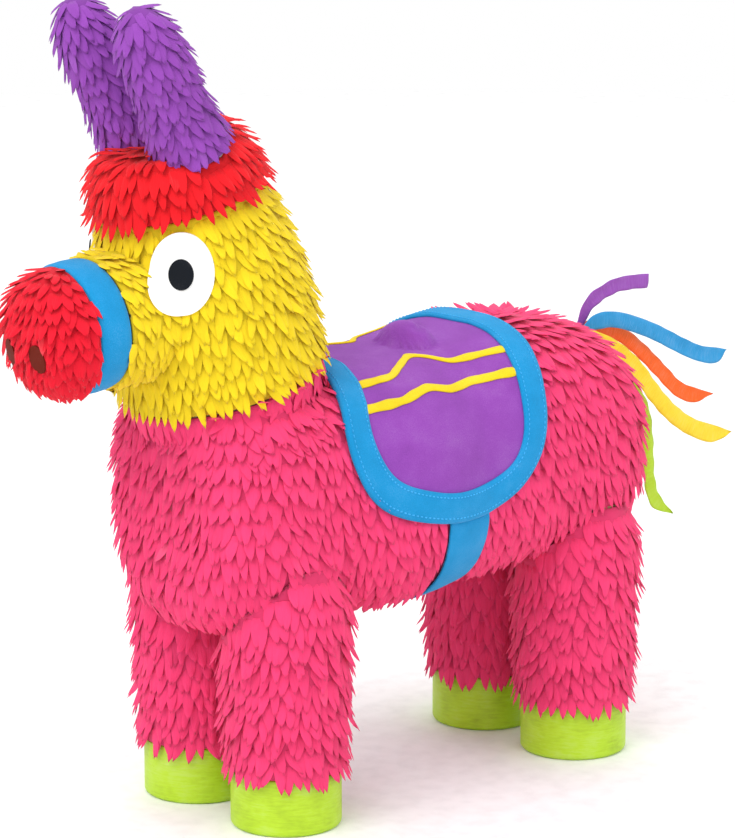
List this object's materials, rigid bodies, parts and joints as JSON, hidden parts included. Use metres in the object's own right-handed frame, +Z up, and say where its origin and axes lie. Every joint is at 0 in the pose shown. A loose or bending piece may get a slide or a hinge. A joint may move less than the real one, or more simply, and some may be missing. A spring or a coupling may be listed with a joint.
{
  "type": "pinata",
  "caption": "Hollow donkey-shaped party pinata in layered paper fringe, with saddle blanket, girth, noseband, streamer tail and a hinged filling flap under the belly.",
  "frame": {"origin": "on the floor under the middle of the bounding box, between the legs", "axes": "+Z up, -Y towards the muzzle, +X towards the animal's left side"},
  "size_m": [0.1818, 0.576, 0.5068],
  "materials": {
    "papier_mache": "layered newsprint and paste over card, matt",
    "gummed_tape": "brown gummed paper tape, slight sheen",
    "card_tube": "rolled brown card, matt",
    "rolled_paper": "rolled waste paper, matt",
    "pink_crepe": "crepe paper fringe, matt",
    "yellow_crepe": "crepe paper fringe, matt",
    "red_crown_crepe": "crepe paper fringe, matt",
    "red_muzzle_crepe": "crepe paper fringe, matt",
    "purple_crepe": "crepe paper fringe, matt",
    "lime_hoof": "painted papier-mache, eggshell",
    "blue_felt": "felt, matt",
    "purple_felt": "felt, matt",
    "yellow_ribbon": "ribbon, soft sheen",
    "white_card": "smooth card, semi-matt",
    "black_card": "smooth card, semi-matt",
    "brown_card": "smooth card, matt",
    "plain_paper": "plain paper, matt",
    "yellow_streamer_paper": "crepe paper streamer, matt",
    "blue_streamer_paper": "crepe paper streamer, matt",
    "purple_streamer_paper": "crepe paper streamer, matt",
    "orange_streamer_paper": "crepe paper streamer, matt",
    "green_streamer_paper": "crepe paper streamer, matt"
  },
  "bodies": {
    "body": {"torso_shell_left": "papier_mache", "torso_shell_right": "papier_mache", "head_shell_left": "papier_mache", "head_shell_right": "papier_mache", "muzzle_cap": "papier_mache", "torso_seam_tape": "gummed_tape", "head_seam_tape": "gummed_tape", "leg_tube_front_left": "card_tube", "leg_tube_front_right": "card_tube", "leg_tube_rear_left": "card_tube", "leg_tube_rear_right": "card_tube", "snout_tube": "card_tube", "tail_plug": "card_tube", "ear_core_left": "rolled_paper", "ear_core_right": "rolled_paper", "torso_fringe_left": "pink_crepe", "torso_fringe_right": "pink_crepe", "leg_fringe_front_left": "pink_crepe", "leg_fringe_front_right": "pink_crepe", "leg_fringe_rear_left": "pink_crepe", "leg_fringe_rear_right": "pink_crepe", "head_fringe": "yellow_crepe", "snout_fringe": "yellow_crepe", "crown_fringe": "red_crown_crepe", "muzzle_fringe": "red_muzzle_crepe", "ear_fringe_left": "purple_crepe", "ear_fringe_right": "purple_crepe", "hoof_front_left": "lime_hoof", "hoof_front_right": "lime_hoof", "hoof_rear_left": "lime_hoof", "hoof_rear_right": "lime_hoof", "saddle_border": "blue_felt", "girth_strap": "blue_felt", "noseband": "blue_felt", "saddle_cloth": "purple_felt", "saddle_stripes": "yellow_ribbon", "eye_white_left": "white_card", "eye_white_right": "white_card", "pupil_left": "black_card", "pupil_right": "black_card", "nostril_left": "brown_card", "nostril_right": "brown_card"},
    "flap": {"fill_flap": "papier_mache", "flap_fringe": "pink_crepe", "flap_pull_tab": "plain_paper"},
    "yellow_streamer": {"streamer_yellow": "yellow_streamer_paper"},
    "blue_streamer": {"streamer_blue": "blue_streamer_paper"},
    "purple_streamer": {"streamer_purple": "purple_streamer_paper"},
    "orange_streamer": {"streamer_orange": "orange_streamer_paper"},
    "green_streamer": {"streamer_green": "green_streamer_paper"}
  },
  "joints": [
    {"name": "flap_hinge", "type": "hinge", "parent": "body", "child": "flap", "pos_m": [0, 0.012, 0.1304], "axis": [-1, 0, 0], "range_deg": [0, 95]},
    {"name": "yellow_streamer_swing", "type": "hinge", "parent": "body", "child": "yellow_streamer", "pos_m": [0, 0.155, 0.2625], "axis": [1, 0, 0], "range_deg": [-4, 30], "stiffness_Nm_per_rad": 0.03, "springref_deg": 2.15},
    {"name": "blue_streamer_swing", "type": "hinge", "parent": "body", "child": "blue_streamer", "pos_m": [0, 0.155, 0.2625], "axis": [1, 0, 0], "range_deg": [-10, 30], "stiffness_Nm_per_rad": 0.03, "springref_deg": 1.75},
    {"name": "purple_streamer_swing", "type": "hinge", "parent": "body", "child": "purple_streamer", "pos_m": [0, 0.155, 0.2625], "axis": [1, 0, 0], "range_deg": [-25, 30], "stiffness_Nm_per_rad": 0.03, "springref_deg": 0.35},
    {"name": "orange_streamer_swing", "type": "hinge", "parent": "body", "child": "orange_streamer", "pos_m": [0, 0.155, 0.2625], "axis": [1, 0, 0], "range_deg": [-8, 30], "stiffness_Nm_per_rad": 0.03, "springref_deg": 1.76},
    {"name": "green_streamer_swing", "type": "hinge", "parent": "body", "child": "green_streamer", "pos_m": [0, 0.155, 0.2625], "axis": [1, 0, 0], "range_deg": [-3, 35], "stiffness_Nm_per_rad": 0.03, "springref_deg": 1.79}
  ]
}
